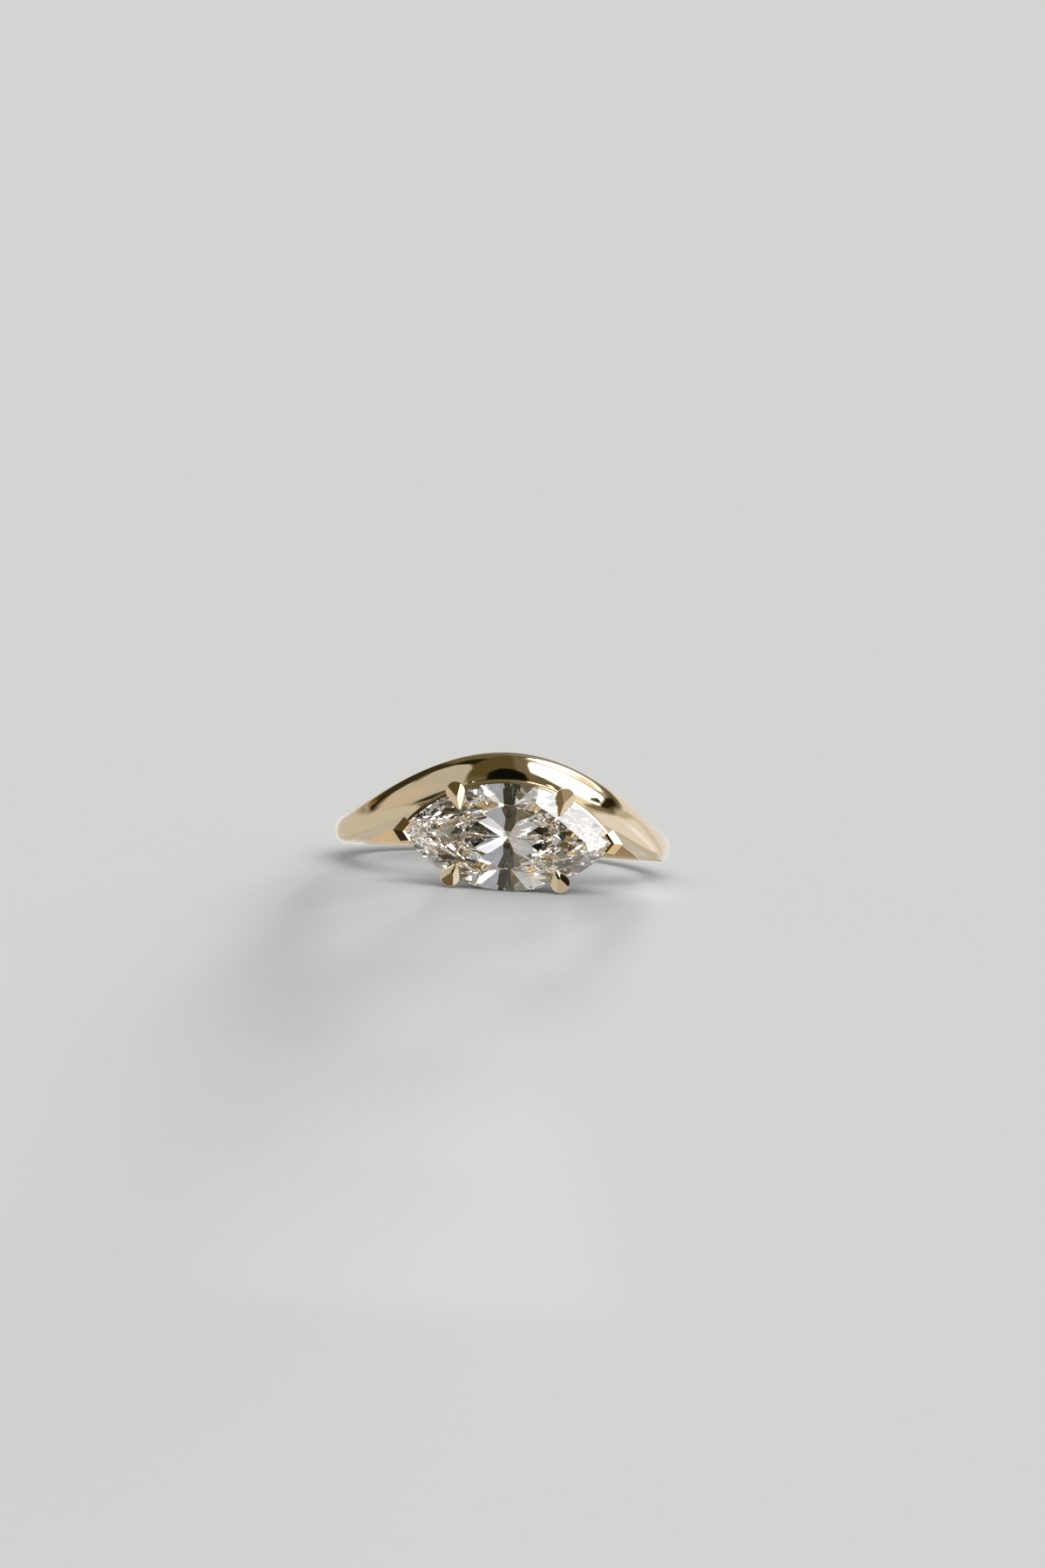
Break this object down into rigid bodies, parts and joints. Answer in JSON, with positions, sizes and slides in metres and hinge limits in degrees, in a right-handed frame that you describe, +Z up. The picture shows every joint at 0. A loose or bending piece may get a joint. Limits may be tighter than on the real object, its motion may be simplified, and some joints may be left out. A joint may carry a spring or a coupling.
{
  "type": "marquise solitaire ring",
  "caption": "Yellow gold finger ring with a marquise diamond set across the finger in claws and V-prongs, beside an arched domed band.",
  "frame": {"origin": "middle of the ring's outline on the floor it lies on", "axes": "+Z up from the floor, -Y the way the stone faces, +X along the stone; the finger's axis leans 5.56 degrees from +Z toward +Y"},
  "size_m": [0.0198, 0.0222, 0.0077],
  "materials": {
    "gold": "polished 14 carat yellow gold",
    "diamond": "faceted, polished"
  },
  "bodies": {
    "root": {"gold_mount": "gold", "marquise_diamond": "diamond"}
  },
  "joints": []
}
